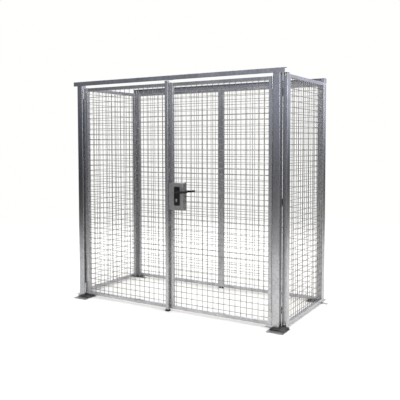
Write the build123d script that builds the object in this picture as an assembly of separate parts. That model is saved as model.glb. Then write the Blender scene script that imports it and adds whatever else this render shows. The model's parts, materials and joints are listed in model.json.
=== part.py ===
from build123d import *
import os

# Walk-in mesh storage cage with two hinged front leaves, all lengths in mm.
# Frame: +X to the right along the long side, -Y is the front with the doors, +Z is up.
# The origin is on the ground, at the centre of the footprint.

# Overall frame
HEIGHT = 2080.0            # top of the beams
BODY_WIDTH = 2160.0        # over the corner posts
FRONT_WIDTH = 2080.0       # over the hinge posts
BODY_DEPTH = 1010.0        # front face of the hinge posts to rear face of the rear posts
BODY_HALF = BODY_WIDTH / 2
FRONT_HALF = FRONT_WIDTH / 2
FRONT_Y = -BODY_DEPTH / 2
REAR_Y = BODY_DEPTH / 2

# Square tubes and posts
HINGE_POST = 60.0
CORNER_POST = 40.0
FRAME_TUBE = 30.0
POST_WALL = 3.0
FRAME_WALL = 2.0
END_PLATE = 4.0            # welded plates that close the post ends
POST_FOOT_Z = 15.0         # posts and fixed panels stand on the foot pads
CAP_TOP_Z = 2046.0         # top of the front corner post caps
CAP_FLANGE = 4.0

# Angle beams
BEAM_WEB = 40.0
BEAM_LEG = 50.0
BEAM_T = 4.0
BEAM_BEND = 3.0
POST_TOP_Z = HEIGHT - BEAM_T

# Fixed panels
PANEL_TOP_Z = 2038.0
PANEL_INSET = 2.0          # panel faces sit this far inside the post faces
MESH_PITCH = 50.0
WIRE = 3.6                 # square wire of the same section as a 4 mm round one
GLIDE_R = 12.0
PLUG_FIT = 0.5
PLUG_DEPTH = 15.0
CAP_PLUG_DEPTH = 7.0

# Cutting
OVERRUN = 1.0              # a drill or cutter passes each face by this much
WELD_LAP = 1.0             # an end plate laps into its post wall
TOUCHING = 1e-3            # places closer than this are the same

# Door leaves
LEAF_FRONT_Y = FRONT_Y + 25.0
LEAF_REAR_Y = LEAF_FRONT_Y + FRAME_TUBE
LEAF_INNER_X = 2.0
LEAF_OUTER_X = 965.0
LEAF_BOTTOM_Z = 22.0
LEAF_TOP_Z = 2018.0
LEAF_WIRE_PITCH = 52.4
LEAF_WIRES = 17
LEAF_WIRE_START = {1: 55.0, -1: 83.4}
LEAF_ROW_START = 80.0
LEAF_ROWS = 38

# Cover bar on the left leaf
BAR_FRONT_Y = FRONT_Y - 5.0
BAR_TOP_Z = 2036.0
BAR_BOTTOM_Z = 18.0
BAR_CAP_BOTTOM_Z = 3.0
BAR_CAP = 36.0

# Hinges
HINGE_X = 972.5
HINGE_Y = FRONT_Y + 8.0
BARREL_R = 6.5
PIN_R = 4.0
PIN_CLEARANCE = 0.05
KNUCKLE = 49.7
KNUCKLE_GAP = 0.3
PIN_FIT = 0.02
PIN_TOP_GAP = 2.0
WELD_TAB = 3.0
LEAF_TAB_T = 4.0
LEAF_TAB_WIDTH = 27.5
WEB_SINK = 1.5             # the leaf knuckle web enters its barrel by this much
HINGE_BASES_Z = (40.0, 1916.0)

# Feet
PLATE_X = 145.0
PLATE_FRONT = 90.0         # plate reaches this far in front of the post face
PLATE_BACK = 75.0
PLATE_T = 5.0
PAD_X = 126.0
PAD_FRONT = 35.0
EAR_LENGTH = 62.0
EAR_WIDTH = 30.0
EAR_SETBACK = 40.0
ANCHOR_R = 6.0
ANCHOR_TAB_Y = 62.0        # anchor hole row in front of the post face
ANCHOR_EAR_X = 40.0
FOOT_SCREW_R = 4.0
FOOT_SCREW_HEAD_R = 7.5
FOOT_SCREW_HEAD = 4.0
FOOT_SCREW_LENGTH = 19.0

# Fasteners
BOLT_R = 4.0
BOLT_HOLE_R = 4.5
BOLT_HEAD_R = 9.0
BOLT_HEAD = 4.5
NUT_AF = 13.0
NUT_H = 6.5
FRONT_BOLT_LEVELS_Z = (35.0, 2028.0)
SIDE_BOLT_LEVELS_Z = (25.0, 2018.0)
CORNER_BOLT_X = 1060.0
JOINT_BOLT_LEVELS_Z = (555.0, 1005.0, 1505.0)
BUTTON_R = 7.0
BUTTON_H = 4.4
BUTTON_SHANK = 16.0
SCREW_FIT = 0.05
BRACKET = 40.0
BRACKET_T = 4.0
BRACKET_H = 60.0
BRACKET_LEVELS_Z = (150.0, 1020.0, 1890.0)

# Lock and handle set
CASE_RIGHT_X = 151.0
CASE_BOTTOM_Z = 908.0
CASE_TOP_Z = 1147.0
CASE_FRONT_Y = FRONT_Y - 3.0
CASE_WALL = 2.0
SPINDLE_X = 91.0
SPINDLE_Z = 1071.0
SPINDLE = 8.0
PLATE_WIDTH = 54.0
PLATE_BOTTOM_Z = 949.0
PLATE_TOP_Z = 1113.0
PLATE_THICK = 8.0
LEVER_NECK_R = 9.0
LEVER_REACH = 42.0
LEVER_LENGTH = 128.0
LEVER_HEIGHT = 18.0
LEVER_DEPTH = 12.0
CYLINDER_DROP = 72.0
CYLINDER_R = 8.5
CYLINDER_BODY = (10.0, 16.0)
CYLINDER_PROUD = 3.0
CYLINDER_PLAY = 0.5        # clearance of the case round the cylinder
PLUG_R = 6.5
PLUG_CLEARANCE = 0.1
PLUG_LENGTH = 34.0
KEYWAY = (1.6, 8.0, 6.0)
FOLLOWER_R = 16.0
FOLLOWER_T = 12.0
PLATE_SCREW_R = 2.5
PLATE_SCREW_HEAD_R = 4.5
PLATE_SCREW_HEAD = 2.5
PLATE_SCREW_EDGE = 12.0
BOLT_Y = CASE_FRONT_Y + 13.0
LATCH = (50.0, 12.0, 30.0)
LATCH_PROUD = 3.5
APERTURE_PLAY = 0.4
DEAD_BOLT = (50.0, 12.0, 26.0)
DEAD_BOLT_DROP = 36.0
STRIKE_PLAY = 3.0
NOSE_CHAMFER = 1.0

# Shoot bolts of the left leaf
ROD_R = 6.0
ROD_HOLE_R = 6.15
ROD_X = -17.0
ROD_Y = LEAF_REAR_Y + 10.0
ROD_LENGTH = 260.0
UPPER_ROD_TOP_Z = 2030.0
LOWER_ROD_BOTTOM_Z = 38.0
ROD_GRIP_R = 4.0
ROD_GRIP_LENGTH = 34.0
ROD_CHAMFER = 1.5
UPPER_GRIP_RISE = 40.0     # grip above the lower guide of the upper bolt
LOWER_GRIP_DROP = 30.0     # grip below the upper guide of the lower bolt
GUIDE_WIDTH = 24.0
GUIDE_DEPTH = 20.0
GUIDE_HEIGHT = 12.0
GUIDE_INSET = 25.0
KEEPER_T = 4.0
KEEPER_Z = 2048.0
KEEPER_WIDTH = 50.0
KEEPER_REACH = 80.0
KEEPER_HOLE_R = 8.0

# Places worked out from the above
SIDES = ((-1, "left"), (1, "right"))
HINGE_POST_X = FRONT_HALF - HINGE_POST / 2
HINGE_POST_Y = FRONT_Y + HINGE_POST / 2
FRONT_POST_BACK = FRONT_Y + HINGE_POST
CORNER_POST_X = BODY_HALF - CORNER_POST / 2
REAR_POST_Y = REAR_Y - CORNER_POST / 2
REAR_PANEL_Y = REAR_Y - PANEL_INSET - FRAME_TUBE
REAR_SCREW_X = {1: 1050.0, -1: -CORNER_POST_X}
LEAF_SPAN = LEAF_OUTER_X - LEAF_INNER_X - 2 * FRAME_TUBE
CYLINDER_Z = SPINDLE_Z - CYLINDER_DROP
PLATE_SCREW_LEVELS_Z = (PLATE_BOTTOM_Z + PLATE_SCREW_EDGE, PLATE_TOP_Z - PLATE_SCREW_EDGE)
STRIKE_SLOTS = (
    (SPINDLE_Z, LATCH[2], LATCH[1]),
    (SPINDLE_Z - DEAD_BOLT_DROP, DEAD_BOLT[2], DEAD_BOLT[1]),
)
CYLINDER_Y = (
    CASE_FRONT_Y - PLATE_THICK - CYLINDER_PROUD,
    LEAF_REAR_Y + PLATE_THICK + CYLINDER_PROUD,
)
SPINDLE_ENGAGED = LEVER_REACH - LEVER_DEPTH
GUIDE_LEVELS_Z = (
    LOWER_ROD_BOTTOM_Z + GUIDE_INSET,
    LOWER_ROD_BOTTOM_Z + ROD_LENGTH - 2 * GUIDE_INSET,
    UPPER_ROD_TOP_Z - ROD_LENGTH + 2 * GUIDE_INSET,
    UPPER_ROD_TOP_Z - 2 * GUIDE_INSET,
)
# Each foot: plate centre X, -1 front or 1 rear, and its screw's X and Y
FEET = (
    (1037.5, -1, HINGE_POST_X, HINGE_POST_Y),
    (-965.0, -1, -HINGE_POST_X, HINGE_POST_Y),
    (995.5, 1, REAR_SCREW_X[1], REAR_POST_Y),
    (-1057.5, 1, REAR_SCREW_X[-1], REAR_POST_Y),
)

# Turns that bring a shape drawn along +Z onto each axis
TURNS = {"x": Rot(0, 90, 0), "y": Rot(-90, 0, 0), "z": Rot(0, 0, 0)}

os.makedirs("parts", exist_ok=True)


def save(name, solids):
    """Write one node, from one solid or a list of separate ones."""
    items = solids if isinstance(solids, list) else [solids]
    flat = [solid for item in items for solid in item.solids()]
    shape = flat[0] if len(flat) == 1 else Compound(children=flat)
    shape.label = name
    export_step(shape, os.path.join("parts", name + ".step"))


def block(x, y, z):
    """Box from its two limits along each axis."""
    size = Box(x[1] - x[0], y[1] - y[0], z[1] - z[0])
    return Pos((x[0] + x[1]) / 2, (y[0] + y[1]) / 2, (z[0] + z[1]) / 2) * size


def rod(axis, radius, start, length):
    """Round bar of a radius that leaves start along +X, +Y or +Z."""
    bar = Cylinder(radius, length, align=(Align.CENTER, Align.CENTER, Align.MIN))
    return Pos(*start) * TURNS[axis] * bar


def square_tube(axis, low, size, length, wall):
    """Square tube with rounded corners, from its low corner along an axis."""
    outer = RectangleRounded(size, size, wall * 1.5)
    bore = RectangleRounded(size - 2 * wall, size - 2 * wall, wall * 0.5)
    half = size / 2
    shift = {"x": (0, half, half), "y": (half, 0, half), "z": (half, half, 0)}[axis]
    start = [low[i] + shift[i] for i in range(len(low))]
    return Pos(*start) * TURNS[axis] * extrude(outer - bore, length)


def plug_outline(bore):
    """Section of a plastic plug that fits a square bore."""
    return RectangleRounded(bore - PLUG_FIT, bore - PLUG_FIT, FRAME_WALL)


def even_steps(low, high, pitch):
    """Wire places at a pitch, centred between two limits."""
    count = int((high - low) // pitch)
    first = (low + high) / 2 - (count - 1) * pitch / 2
    return [first + pitch * i for i in range(count)]


def upright_wire(x, up):
    """Vertical wire, just behind the mesh plane."""
    return block((x - WIRE / 2, x + WIRE / 2), (0, WIRE), up)


def level_wire(z, across):
    """Horizontal wire, just in front of the mesh plane."""
    return block(across, (-WIRE, 0), (z - WIRE / 2, z + WIRE / 2))


def welded_mesh(uprights, levels):
    """Join crossing wires, face to face, into one welded sheet in the XZ plane."""
    return uprights[0].fuse(*uprights[1:], *levels)


def mirror_x(solids):
    """The same pieces on the other side of the YZ plane."""
    return [mirror(solid, about=Plane.YZ) for solid in solids]


# ---------------------------------------------------------------- posts and beams

def angle_beam():
    """Front beam: web outside the posts, leg on top of them."""
    corner = BEAM_T + BEAM_BEND
    outer_y = FRONT_Y - BEAM_T
    web = block((-BODY_HALF, BODY_HALF), (outer_y, FRONT_Y), (HEIGHT - BEAM_WEB, HEIGHT))
    leg = block((-BODY_HALF, BODY_HALF), (outer_y, outer_y + BEAM_LEG), (POST_TOP_Z, HEIGHT))
    beam = web.fuse(leg)
    bend = [
        edge for edge in beam.edges().filter_by(Axis.X)
        if abs(edge.center().Y - outer_y) < TOUCHING and abs(edge.center().Z - HEIGHT) < TOUCHING
    ]
    beam = fillet(bend, corner / 2)
    for x in (-HINGE_POST_X, HINGE_POST_X):
        beam -= rod("z", BOLT_HOLE_R, (x, HINGE_POST_Y, POST_TOP_Z - OVERRUN), BEAM_T + 2 * OVERRUN)
    return beam


def rear_angle_beam():
    """Rear beam: the front beam turned round, drilled over the rear posts."""
    beam = block((-BODY_HALF, BODY_HALF), (REAR_Y, REAR_Y + BEAM_T), (HEIGHT - BEAM_WEB, HEIGHT))
    inner_y = REAR_Y + BEAM_T - BEAM_LEG
    leg = block((-BODY_HALF, BODY_HALF), (inner_y, REAR_Y + BEAM_T), (POST_TOP_Z, HEIGHT))
    beam = beam.fuse(leg)
    bend = [
        edge for edge in beam.edges().filter_by(Axis.X)
        if abs(edge.center().Y - REAR_Y - BEAM_T) < TOUCHING and abs(edge.center().Z - HEIGHT) < TOUCHING
    ]
    beam = fillet(bend, (BEAM_T + BEAM_BEND) / 2)
    for x in (-CORNER_POST_X, CORNER_POST_X):
        beam -= rod("z", BOLT_HOLE_R, (x, REAR_POST_Y, POST_TOP_Z - OVERRUN), BEAM_T + 2 * OVERRUN)
    return beam


def closed_post(low, size, top_z):
    """Square post with a welded plate inside each end."""
    post = square_tube("z", low, size, top_z - low[2], POST_WALL)
    inner = size - 2 * POST_WALL
    centre = (low[0] + size / 2, low[1] + size / 2)
    for z in (low[2], top_z - END_PLATE):
        plate = extrude(RectangleRounded(inner + WELD_LAP, inner + WELD_LAP, POST_WALL), END_PLATE)
        post = post.fuse(Pos(centre[0], centre[1], z) * plate)
    return post


def hinge_post(side):
    """Post that carries a leaf, drilled for its beam bolt and foot screw."""
    centre_x = side * HINGE_POST_X
    post = closed_post((centre_x - HINGE_POST / 2, FRONT_Y, POST_FOOT_Z), HINGE_POST, POST_TOP_Z)
    bolt = rod("z", BOLT_R + SCREW_FIT, (centre_x, HINGE_POST_Y, HEIGHT - BUTTON_SHANK), BUTTON_SHANK)
    return post - bolt - foot_screw_hole(centre_x, HINGE_POST_Y)


def foot_screw_hole(x, y):
    """Clearance for a foot screw through plate, pad and post."""
    cone = Cone(FOOT_SCREW_HEAD_R + SCREW_FIT, BOLT_R + SCREW_FIT, FOOT_SCREW_HEAD)
    shank = rod("z", BOLT_R + SCREW_FIT, (x, y, 0), FOOT_SCREW_LENGTH + SCREW_FIT)
    return shank.fuse(Pos(x, y, FOOT_SCREW_HEAD / 2) * cone)


def corner_bolt_line(x, start_y, z):
    """Hole for a bolt that runs along Y through post and panel."""
    return rod("y", BOLT_HOLE_R, (x, start_y, z), CORNER_POST + 2 * FRAME_TUBE)


def front_corner_post(side):
    """Open-topped corner post behind the hinge post."""
    low_x = side * CORNER_POST_X - CORNER_POST / 2
    low = (low_x, FRONT_POST_BACK, POST_FOOT_Z)
    post = square_tube("z", low, CORNER_POST, CAP_TOP_Z - CAP_FLANGE - POST_FOOT_Z, POST_WALL)
    for z in FRONT_BOLT_LEVELS_Z:
        post -= corner_bolt_line(side * CORNER_BOLT_X, FRONT_POST_BACK - OVERRUN, z)
    return post


def rear_corner_post(side):
    """Closed corner post under the rear beam."""
    centre_x = side * CORNER_POST_X
    low = (centre_x - CORNER_POST / 2, REAR_Y - CORNER_POST, POST_FOOT_Z)
    post = closed_post(low, CORNER_POST, POST_TOP_Z)
    post -= rod("z", BOLT_R + SCREW_FIT, (centre_x, REAR_POST_Y, HEIGHT - BUTTON_SHANK), BUTTON_SHANK)
    post -= foot_screw_hole(REAR_SCREW_X[side], REAR_POST_Y)
    for z in FRONT_BOLT_LEVELS_Z:
        start_y = REAR_Y + OVERRUN - CORNER_POST - 2 * FRAME_TUBE
        post -= corner_bolt_line(side * CORNER_BOLT_X, start_y, z)
    for z in SIDE_BOLT_LEVELS_Z:
        low_x = BODY_HALF - CORNER_POST - OVERRUN if side > 0 else -BODY_HALF - OVERRUN
        post -= rod("x", BOLT_HOLE_R, (low_x, REAR_POST_Y, z), CORNER_POST + 2 * OVERRUN)
    return post


def post_caps():
    """Plastic caps pushed into the two front corner posts."""
    bore = CORNER_POST - 2 * POST_WALL
    caps = []
    for side in (-1, 1):
        x = side * CORNER_POST_X
        y = FRONT_POST_BACK + CORNER_POST / 2
        flange = extrude(RectangleRounded(CORNER_POST, CORNER_POST, POST_WALL * 1.5), CAP_FLANGE)
        flange = fillet(flange.edges().group_by(Axis.Z)[-1], CAP_FLANGE / 2)
        plug = extrude(plug_outline(bore), -CAP_PLUG_DEPTH)
        caps.append(Pos(x, y, CAP_TOP_Z - CAP_FLANGE) * flange.fuse(plug))
    return caps


def post_brackets():
    """Angle cleats that tie each hinge post to its corner post."""
    back = FRONT_POST_BACK
    inner = BODY_HALF - CORNER_POST
    cleats = []
    for z in BRACKET_LEVELS_Z:
        up = (z - BRACKET_H / 2, z + BRACKET_H / 2)
        flat = block((inner - BRACKET, inner), (back, back + BRACKET_T), up)
        wing = block((inner - BRACKET_T, inner), (back, back + BRACKET), up)
        cleats.append(flat.fuse(wing))
    return cleats + mirror_x(cleats)


# ---------------------------------------------------------------- feet

def foot_plate():
    """Ground plate with an ear, centred on X, post face at Y = 0, front towards -Y."""
    half = PLATE_X / 2
    plate = block((-half, half), (-PLATE_FRONT, PLATE_BACK), (0, PLATE_T))
    ear_y = (EAR_SETBACK, EAR_SETBACK + EAR_WIDTH)
    plate = plate.fuse(block((-half - EAR_LENGTH, -half), ear_y, (0, PLATE_T)))
    ear_middle = EAR_SETBACK + EAR_WIDTH / 2
    for x, y in ((0, -ANCHOR_TAB_Y), (-half - ANCHOR_EAR_X, ear_middle)):
        plate -= rod("z", ANCHOR_R, (x, y, -OVERRUN), PLATE_T + 2 * OVERRUN)
    return plate


def foot_pad():
    """Rubber pad between ground plate and post."""
    half = PAD_X / 2
    pad = block((-half, half), (-PAD_FRONT, PLATE_BACK), (PLATE_T, POST_FOOT_Z))
    return fillet(pad.edges().filter_by(Axis.Z), PLATE_T)


def place_feet(piece):
    """One foot piece under each corner, with its screw hole."""
    placed = []
    for x, end, screw_x, screw_y in FEET:
        turn = 0 if end < 0 else 180
        foot = Pos(x, end * BODY_DEPTH / 2, 0) * Rot(0, 0, turn) * piece
        placed.append(foot - foot_screw_hole(screw_x, screw_y))
    return placed


def foot_screws():
    """Countersunk screws from under each plate into the post."""
    screws = []
    for x, end, screw_x, screw_y in FEET:
        cone = Pos(screw_x, screw_y, FOOT_SCREW_HEAD / 2) * Cone(
            FOOT_SCREW_HEAD_R, FOOT_SCREW_R, FOOT_SCREW_HEAD
        )
        start = FOOT_SCREW_HEAD / 2
        shank = rod("z", FOOT_SCREW_R, (screw_x, screw_y, start), FOOT_SCREW_LENGTH - start)
        screws.append(cone.fuse(shank))
    return screws


def rear_glides():
    """Black glides pushed into the two middle stiles at the back."""
    bore = FRAME_TUBE - 2 * FRAME_WALL
    glides = []
    for side in (-1, 1):
        centre = (side * FRAME_TUBE / 2, REAR_PANEL_Y + FRAME_TUBE / 2, 0)
        plug = Pos(0, 0, POST_FOOT_Z) * extrude(plug_outline(bore), PLUG_DEPTH)
        foot = rod("z", GLIDE_R, (0, 0, 0), POST_FOOT_Z)
        glides.append(Pos(*centre) * plug.fuse(foot))
    return glides


# ---------------------------------------------------------------- fasteners

def cup_bolt(length):
    """Cup-head bolt along +Z, head below Z = 0, with its nut at the far end."""
    sphere = Sphere(BOLT_HEAD_R)
    squashed = scale(sphere, by=(1, 1, BOLT_HEAD / BOLT_HEAD_R))
    dome = squashed & block((-BOLT_HEAD_R, BOLT_HEAD_R), (-BOLT_HEAD_R, BOLT_HEAD_R), (-BOLT_HEAD, 0))
    return [dome.fuse(rod("z", BOLT_R, (0, 0, -OVERRUN), length + NUT_H + OVERRUN)), hex_nut(length)]


def hex_nut(z):
    """Nut whose near face is at z, bored just clear of the thread."""
    hexagon = RegularPolygon(NUT_AF / 2, 6, major_radius=False)
    nut = Pos(0, 0, z) * extrude(hexagon, NUT_H)
    return nut - rod("z", BOLT_R + SCREW_FIT, (0, 0, z - OVERRUN), NUT_H + 2 * OVERRUN)


def corner_bolts():
    """Bolts that join the corner posts to the panels."""
    reach = CORNER_POST + FRAME_TUBE
    pieces = []
    for side in (-1, 1):
        for z in FRONT_BOLT_LEVELS_Z:
            for end in (-1, 1):
                start = FRONT_POST_BACK if end < 0 else REAR_Y
                turn = Rot(-90, 0, 0) if end < 0 else Rot(90, 0, 0)
                place = Pos(side * CORNER_BOLT_X, start, z) * turn
                pieces += [place * piece for piece in cup_bolt(reach)]
        for z in SIDE_BOLT_LEVELS_Z:
            place = Pos(side * BODY_HALF, REAR_POST_Y, z) * Rot(0, -side * 90, 0)
            pieces += [place * piece for piece in cup_bolt(reach)]
    return pieces


def panel_joint_bolts():
    """Bolts that join the two rear panels at the middle."""
    pieces = []
    for z in JOINT_BOLT_LEVELS_Z:
        place = Pos(-FRAME_TUBE, REAR_PANEL_Y + FRAME_TUBE / 2, z) * Rot(0, 90, 0)
        pieces += [place * piece for piece in cup_bolt(2 * FRAME_TUBE)]
    return pieces


def beam_bolts():
    """Button-head bolts down through the beams into the post ends."""
    spots = [(side * HINGE_POST_X, HINGE_POST_Y) for side in (-1, 1)]
    spots += [(side * CORNER_POST_X, REAR_POST_Y) for side in (-1, 1)]
    bolts = []
    for x, y in spots:
        head = fillet(Cylinder(BUTTON_R, BUTTON_H).edges().group_by(Axis.Z)[-1], BUTTON_H / 2)
        head = Pos(x, y, HEIGHT + BUTTON_H / 2) * head
        socket = extrude(RegularPolygon(BUTTON_R / 3, 6), BUTTON_H / 2)
        head -= Pos(x, y, HEIGHT + BUTTON_H / 2) * socket
        bolts.append(head.fuse(rod("z", BOLT_R, (x, y, HEIGHT - BUTTON_SHANK), BUTTON_SHANK + OVERRUN)))
    return bolts


# ---------------------------------------------------------------- fixed panels

def panel_tubes(width):
    """Stiles and rails of a fixed panel, from X = 0 to its width, front face at Y = 0."""
    tall = PANEL_TOP_Z - POST_FOOT_Z
    far = width - FRAME_TUBE
    stiles = [square_tube("z", (x, 0, POST_FOOT_Z), FRAME_TUBE, tall, FRAME_WALL) for x in (0, far)]
    rail_levels = (POST_FOOT_Z, PANEL_TOP_Z - FRAME_TUBE)
    span = width - 2 * FRAME_TUBE
    rails = [square_tube("x", (FRAME_TUBE, 0, z), FRAME_TUBE, span, FRAME_WALL) for z in rail_levels]
    return stiles, rails


def panel_mesh(width):
    """Mesh welded inside a fixed panel's frame."""
    across = (FRAME_TUBE, width - FRAME_TUBE)
    up = (POST_FOOT_Z + FRAME_TUBE, PANEL_TOP_Z - FRAME_TUBE)
    columns = [upright_wire(x, up) for x in even_steps(*across, MESH_PITCH)]
    rows = [level_wire(z, across) for z in even_steps(*up, MESH_PITCH)]
    return Pos(0, FRAME_TUBE / 2, 0) * welded_mesh(columns, rows)


def save_fixed_panel(name, width, place, holes):
    """Write one fixed panel as stiles, rails and mesh."""
    stiles, rails = panel_tubes(width)
    placed = [place * stile for stile in stiles]
    for hole in holes:
        placed = [stile - hole for stile in placed]
    save(name + "_stiles", placed)
    save(name + "_rails", [place * rail for rail in rails])
    save(name + "_mesh", place * panel_mesh(width))


def side_panel_holes(side):
    """Bolt lines through the two stiles of a side panel."""
    x = side * CORNER_BOLT_X
    starts = (FRONT_POST_BACK - OVERRUN, REAR_Y + OVERRUN - CORNER_POST - 2 * FRAME_TUBE)
    return [corner_bolt_line(x, y, z) for y in starts for z in FRONT_BOLT_LEVELS_Z]


def rear_panel_holes():
    """Bolt lines through the end and middle stiles of the rear panels."""
    length = FRAME_TUBE + 2 * OVERRUN
    inner = BODY_HALF - CORNER_POST
    y = REAR_POST_Y
    holes = [rod("x", BOLT_HOLE_R, (inner - FRAME_TUBE - OVERRUN, y, z), length) for z in SIDE_BOLT_LEVELS_Z]
    holes += [rod("x", BOLT_HOLE_R, (-inner - OVERRUN, y, z), length) for z in SIDE_BOLT_LEVELS_Z]
    middle_y = REAR_PANEL_Y + FRAME_TUBE / 2
    for z in JOINT_BOLT_LEVELS_Z:
        start = (-FRAME_TUBE - OVERRUN, middle_y, z)
        holes.append(rod("x", BOLT_HOLE_R, start, 2 * FRAME_TUBE + 2 * OVERRUN))
    return holes


# ---------------------------------------------------------------- door leaves

def leaf_tubes(side):
    """Hinge stile, rails and mesh of a leaf."""
    outer_low = LEAF_OUTER_X - FRAME_TUBE if side > 0 else -LEAF_OUTER_X
    low = (outer_low, LEAF_FRONT_Y, LEAF_BOTTOM_Z)
    hinge_stile = square_tube("z", low, FRAME_TUBE, LEAF_TOP_Z - LEAF_BOTTOM_Z, FRAME_WALL)
    rail_low = LEAF_INNER_X + FRAME_TUBE if side > 0 else FRAME_TUBE - LEAF_OUTER_X
    rails = []
    for z in (LEAF_BOTTOM_Z, LEAF_TOP_Z - FRAME_TUBE):
        rails.append(square_tube("x", (rail_low, LEAF_FRONT_Y, z), FRAME_TUBE, LEAF_SPAN, FRAME_WALL))
    return hinge_stile, rails


def closing_stile(side):
    """Closing stile; the right one is cut where the lock case is welded in."""
    low_x = LEAF_INNER_X if side > 0 else -LEAF_INNER_X - FRAME_TUBE
    lengths = [(LEAF_BOTTOM_Z, LEAF_TOP_Z)]
    if side > 0:
        lengths = [(LEAF_BOTTOM_Z, CASE_BOTTOM_Z), (CASE_TOP_Z, LEAF_TOP_Z)]
    stiles = []
    for low, high in lengths:
        start = (low_x, LEAF_FRONT_Y, low)
        stiles.append(square_tube("z", start, FRAME_TUBE, high - low, FRAME_WALL))
    return stiles


def leaf_mesh(side):
    """Mesh of a leaf; the right one stops at the lock case."""
    across = (LEAF_INNER_X + FRAME_TUBE, LEAF_OUTER_X - FRAME_TUBE)
    up = (LEAF_BOTTOM_Z + FRAME_TUBE, LEAF_TOP_Z - FRAME_TUBE)
    columns = [LEAF_WIRE_START[side] + LEAF_WIRE_PITCH * i for i in range(LEAF_WIRES)]
    levels = [LEAF_ROW_START + MESH_PITCH * i for i in range(LEAF_ROWS)]
    wires = []
    for x in columns:
        if side > 0 and x < CASE_RIGHT_X:
            wires.append(upright_wire(x, (up[0], CASE_BOTTOM_Z)))
            wires.append(upright_wire(x, (CASE_TOP_Z, up[1])))
        else:
            wires.append(upright_wire(x, up))
    rows = []
    for z in levels:
        cut = side > 0 and CASE_BOTTOM_Z < z < CASE_TOP_Z
        rows.append(level_wire(z, (CASE_RIGHT_X, across[1]) if cut else across))
    mesh = Pos(0, LEAF_FRONT_Y + FRAME_TUBE / 2, 0) * welded_mesh(wires, rows)
    return mesh if side > 0 else mirror(mesh, about=Plane.YZ)


def cover_bar():
    """Square bar in front of the left closing stile, slotted for the lock bolts."""
    low = (-LEAF_INNER_X - FRAME_TUBE, BAR_FRONT_Y, BAR_BOTTOM_Z)
    bar = square_tube("z", low, FRAME_TUBE, BAR_TOP_Z - FRAME_WALL - BAR_BOTTOM_Z, FRAME_WALL)
    slot_x = (-LEAF_INNER_X - FRAME_WALL - OVERRUN, -LEAF_INNER_X + OVERRUN)
    for z, height, depth in STRIKE_SLOTS:
        slot_y = (BOLT_Y - depth / 2 - STRIKE_PLAY, BOLT_Y + depth / 2 + STRIKE_PLAY)
        slot_z = (z - height / 2 - STRIKE_PLAY, z + height / 2 + STRIKE_PLAY)
        bar -= block(slot_x, slot_y, slot_z)
    return bar


def bar_end_caps():
    """Plastic foot and top cap of the cover bar."""
    bore = FRAME_TUBE - 2 * FRAME_WALL
    centre_x = -LEAF_INNER_X - FRAME_TUBE / 2
    centre_y = BAR_FRONT_Y + FRAME_TUBE / 2
    foot_height = BAR_BOTTOM_Z - BAR_CAP_BOTTOM_Z
    foot = extrude(RectangleRounded(BAR_CAP, BAR_CAP, FRAME_WALL * 1.5), foot_height)
    foot = foot.fuse(Pos(0, 0, foot_height) * extrude(plug_outline(bore), PLUG_DEPTH))
    top = extrude(RectangleRounded(FRAME_TUBE, FRAME_TUBE, FRAME_WALL * 1.5), FRAME_WALL)
    top = top.fuse(extrude(plug_outline(bore), -PLUG_DEPTH))
    top_z = BAR_TOP_Z - FRAME_WALL
    return [Pos(centre_x, centre_y, BAR_CAP_BOTTOM_Z) * foot, Pos(centre_x, centre_y, top_z) * top]


# ---------------------------------------------------------------- hinges

def post_knuckles():
    """Lower barrels, welded to the hinge posts."""
    knuckles = []
    for z in HINGE_BASES_Z:
        barrel = rod("z", BARREL_R, (HINGE_X, HINGE_Y, z), KNUCKLE)
        post_face = FRONT_HALF - HINGE_POST
        tab_y = (HINGE_Y - WELD_TAB, HINGE_Y + WELD_TAB)
        tab = block((post_face - WELD_TAB, post_face), tab_y, (z, z + KNUCKLE))
        barrel = barrel.fuse(tab)
        bore = rod("z", PIN_R + PIN_FIT, (HINGE_X, HINGE_Y, z - OVERRUN), KNUCKLE + 2 * OVERRUN)
        knuckles.append(barrel - bore)
    return knuckles + mirror_x(knuckles)


def hinge_pins():
    """Pins pressed into the lower barrels."""
    length = 2 * KNUCKLE + KNUCKLE_GAP - PIN_TOP_GAP
    pins = [rod("z", PIN_R, (HINGE_X, HINGE_Y, z), length) for z in HINGE_BASES_Z]
    return pins + mirror_x(pins)


def leaf_knuckles():
    """Upper barrels of the right leaf, each with a tab welded to the hinge stile."""
    knuckles = []
    tab_edge = HINGE_X - LEAF_TAB_T / 2
    for base in HINGE_BASES_Z:
        z = base + KNUCKLE + KNUCKLE_GAP
        up = (z, z + KNUCKLE)
        barrel = rod("z", BARREL_R, (HINGE_X, HINGE_Y, z), KNUCKLE)
        web = block((tab_edge - LEAF_TAB_T, tab_edge), (HINGE_Y + BARREL_R - WEB_SINK, LEAF_FRONT_Y), up)
        tab_y = (LEAF_FRONT_Y - LEAF_TAB_T, LEAF_FRONT_Y)
        tab = block((tab_edge - LEAF_TAB_WIDTH, tab_edge), tab_y, up)
        barrel = barrel.fuse(web, tab)
        bore = rod("z", PIN_R + PIN_CLEARANCE, (HINGE_X, HINGE_Y, z - OVERRUN), KNUCKLE + 2 * OVERRUN)
        knuckles.append(barrel - bore)
    return knuckles


# ---------------------------------------------------------------- lock and handles

def cylinder_shape(radius, body, y, length):
    """Profile cylinder outline along Y: a barrel with a narrower body under it."""
    barrel = rod("y", radius, (SPINDLE_X, y, CYLINDER_Z), length)
    half = body[0] / 2
    low = CYLINDER_Z - body[1]
    return barrel.fuse(block((SPINDLE_X - half, SPINDLE_X + half), (y, y + length), (low, CYLINDER_Z)))


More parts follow.
